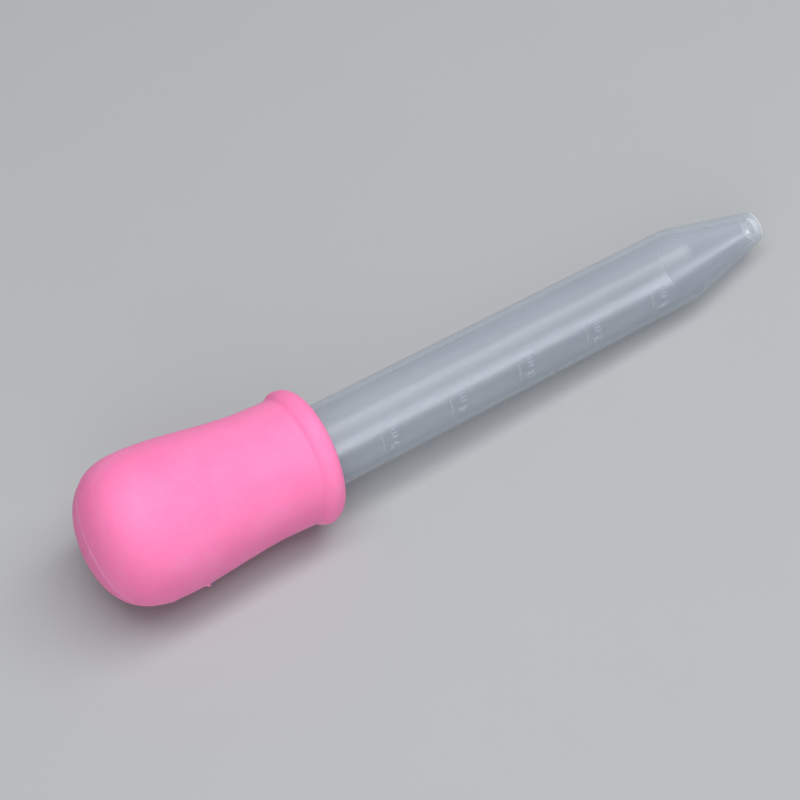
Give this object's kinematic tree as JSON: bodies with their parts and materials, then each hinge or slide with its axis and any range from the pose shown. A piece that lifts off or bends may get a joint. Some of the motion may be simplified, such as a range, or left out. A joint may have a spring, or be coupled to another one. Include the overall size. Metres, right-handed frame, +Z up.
{
  "type": "medicine dropper",
  "caption": "Oral medicine dropper: a soft squeeze bulb with a beaded collar pushed over a tapered, graduated tube with a conical tip.",
  "frame": {"origin": "on the table under the middle of the dropper's outline", "axes": "+X along the dropper towards its tip (the dropper's own axis dips 3.6 degrees below +X, as it lies on its collar and the barrel's shoulder), +Y across it, +Z up"},
  "size_m": [0.1162, 0.0218, 0.0224],
  "materials": {
    "barrel": "translucent natural polypropylene, satin",
    "bulb": "pink silicone, satin"
  },
  "bodies": {
    "barrel": {"barrel": "barrel"},
    "bulb": {"bulb_shell": "bulb"},
    "wall_near": {"bulb_wall_near": "bulb"},
    "wall_far": {"bulb_wall_far": "bulb"}
  },
  "joints": [
    {"name": "bulb_pull", "type": "slide", "parent": "barrel", "child": "bulb", "axis": [-0.998, 0, 0.0629], "range_m": [0, 0.03]},
    {"name": "pinch_near", "type": "slide", "parent": "bulb", "child": "wall_near", "axis": [-0.0541, 0.5105, -0.8582], "range_m": [0, 0.004], "stiffness_N_per_m": 400},
    {"name": "pinch_far", "type": "slide", "parent": "bulb", "child": "wall_far", "axis": [0.0541, -0.5105, 0.8582], "range_m": [0, 0.004], "stiffness_N_per_m": 400}
  ],
  "couplings": [
    {"joint": "pinch_far", "follows": "pinch_near", "ratio": 1}
  ]
}
